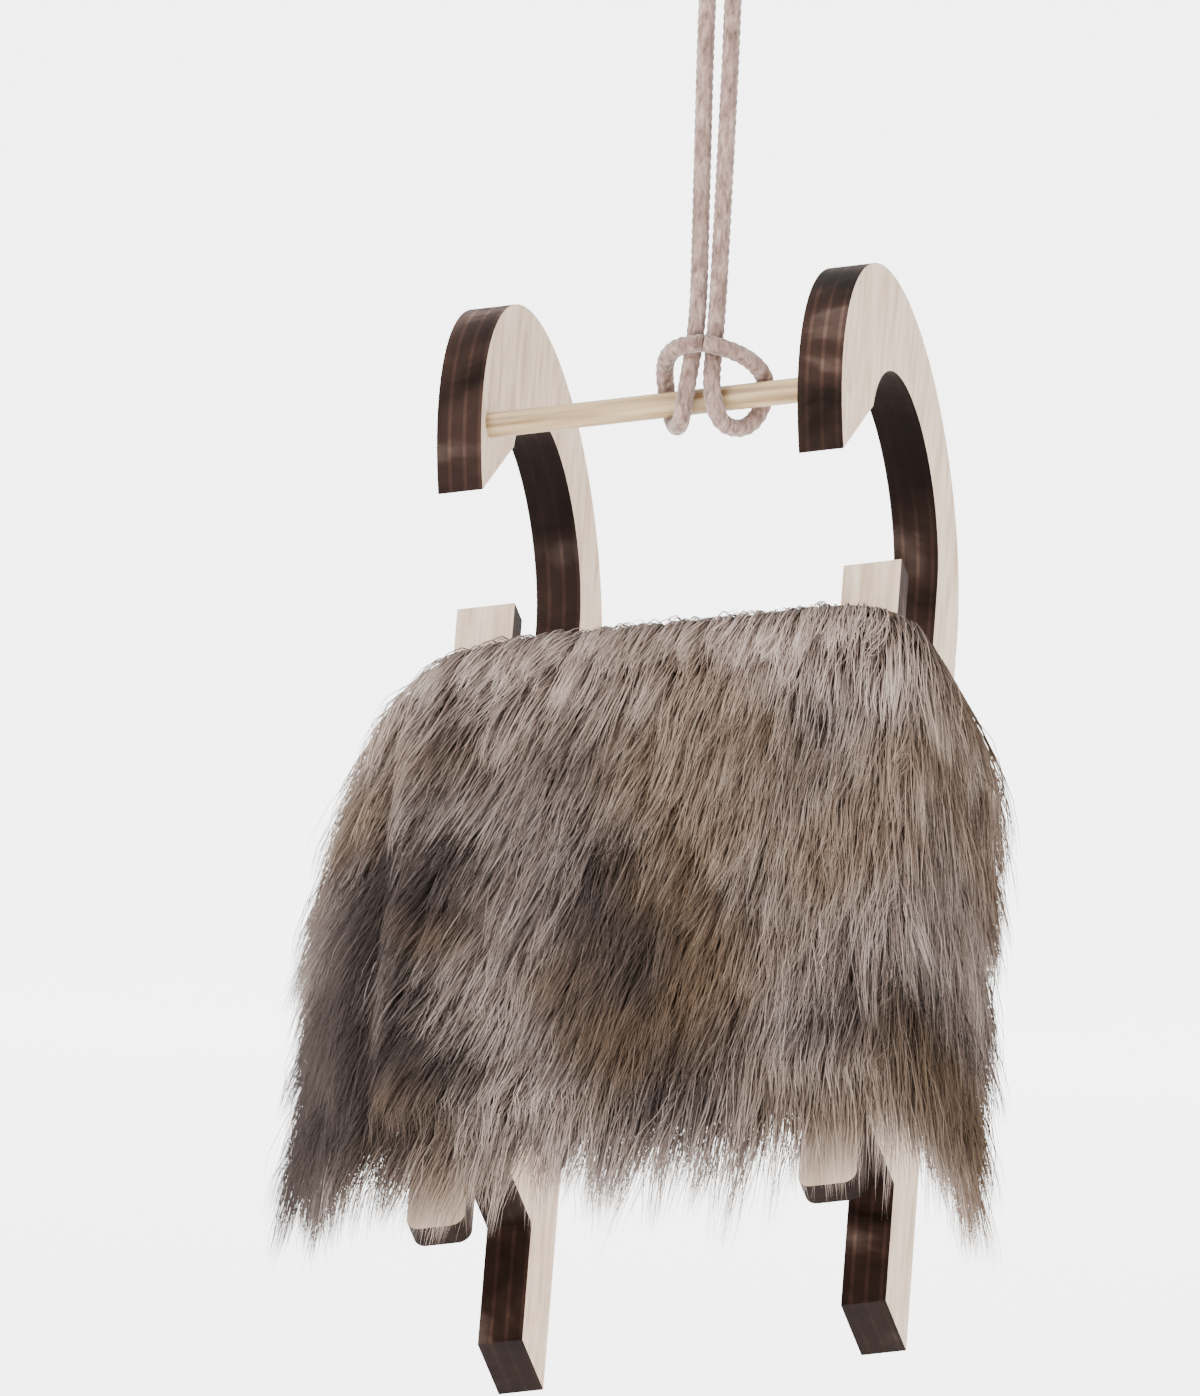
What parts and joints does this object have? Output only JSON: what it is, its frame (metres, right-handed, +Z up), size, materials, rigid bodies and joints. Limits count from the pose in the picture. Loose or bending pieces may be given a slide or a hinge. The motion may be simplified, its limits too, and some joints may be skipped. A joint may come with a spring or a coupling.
{
  "type": "hanging sled ornament",
  "caption": "Small plywood sled with curled runners and a long-haired pelt on its seat, hung nose up by a cord hitched on a stick through the curls.",
  "frame": {"origin": "the place under the knot where the cord's loop hangs on its hook", "axes": "+Z up along the taut cord; +X along the stick through the curls, level but for the sled's tilt; the seat faces -Y and the runners' noses point up"},
  "size_m": [0.0586, 0.0722, 0.1356],
  "materials": {
    "plywood": "sanded, unfinished, with laser-darkened edges",
    "bamboo": "satin",
    "backing": "matte knit",
    "hair": "soft long pile",
    "cord": "matte twisted cord"
  },
  "bodies": {
    "cord": {"cord_hitch": "cord", "cord_strand_left": "cord", "cord_strand_right": "cord", "cord_knot": "cord"},
    "sled": {"runner_left": "plywood", "runner_right": "plywood", "curl_stick": "bamboo", "seat_slat_left": "plywood", "seat_slat_right": "plywood", "bearer_front": "plywood", "bearer_rear": "plywood", "pelt_hide": "backing", "pelt_hair": "hair"}
  },
  "joints": [
    {"name": "sled_swing", "type": "hinge", "parent": "cord", "child": "sled", "pos_m": [0, 0, -0.041], "axis": [0.989, 0, 0.1478], "range_deg": [-25, 25]}
  ]
}
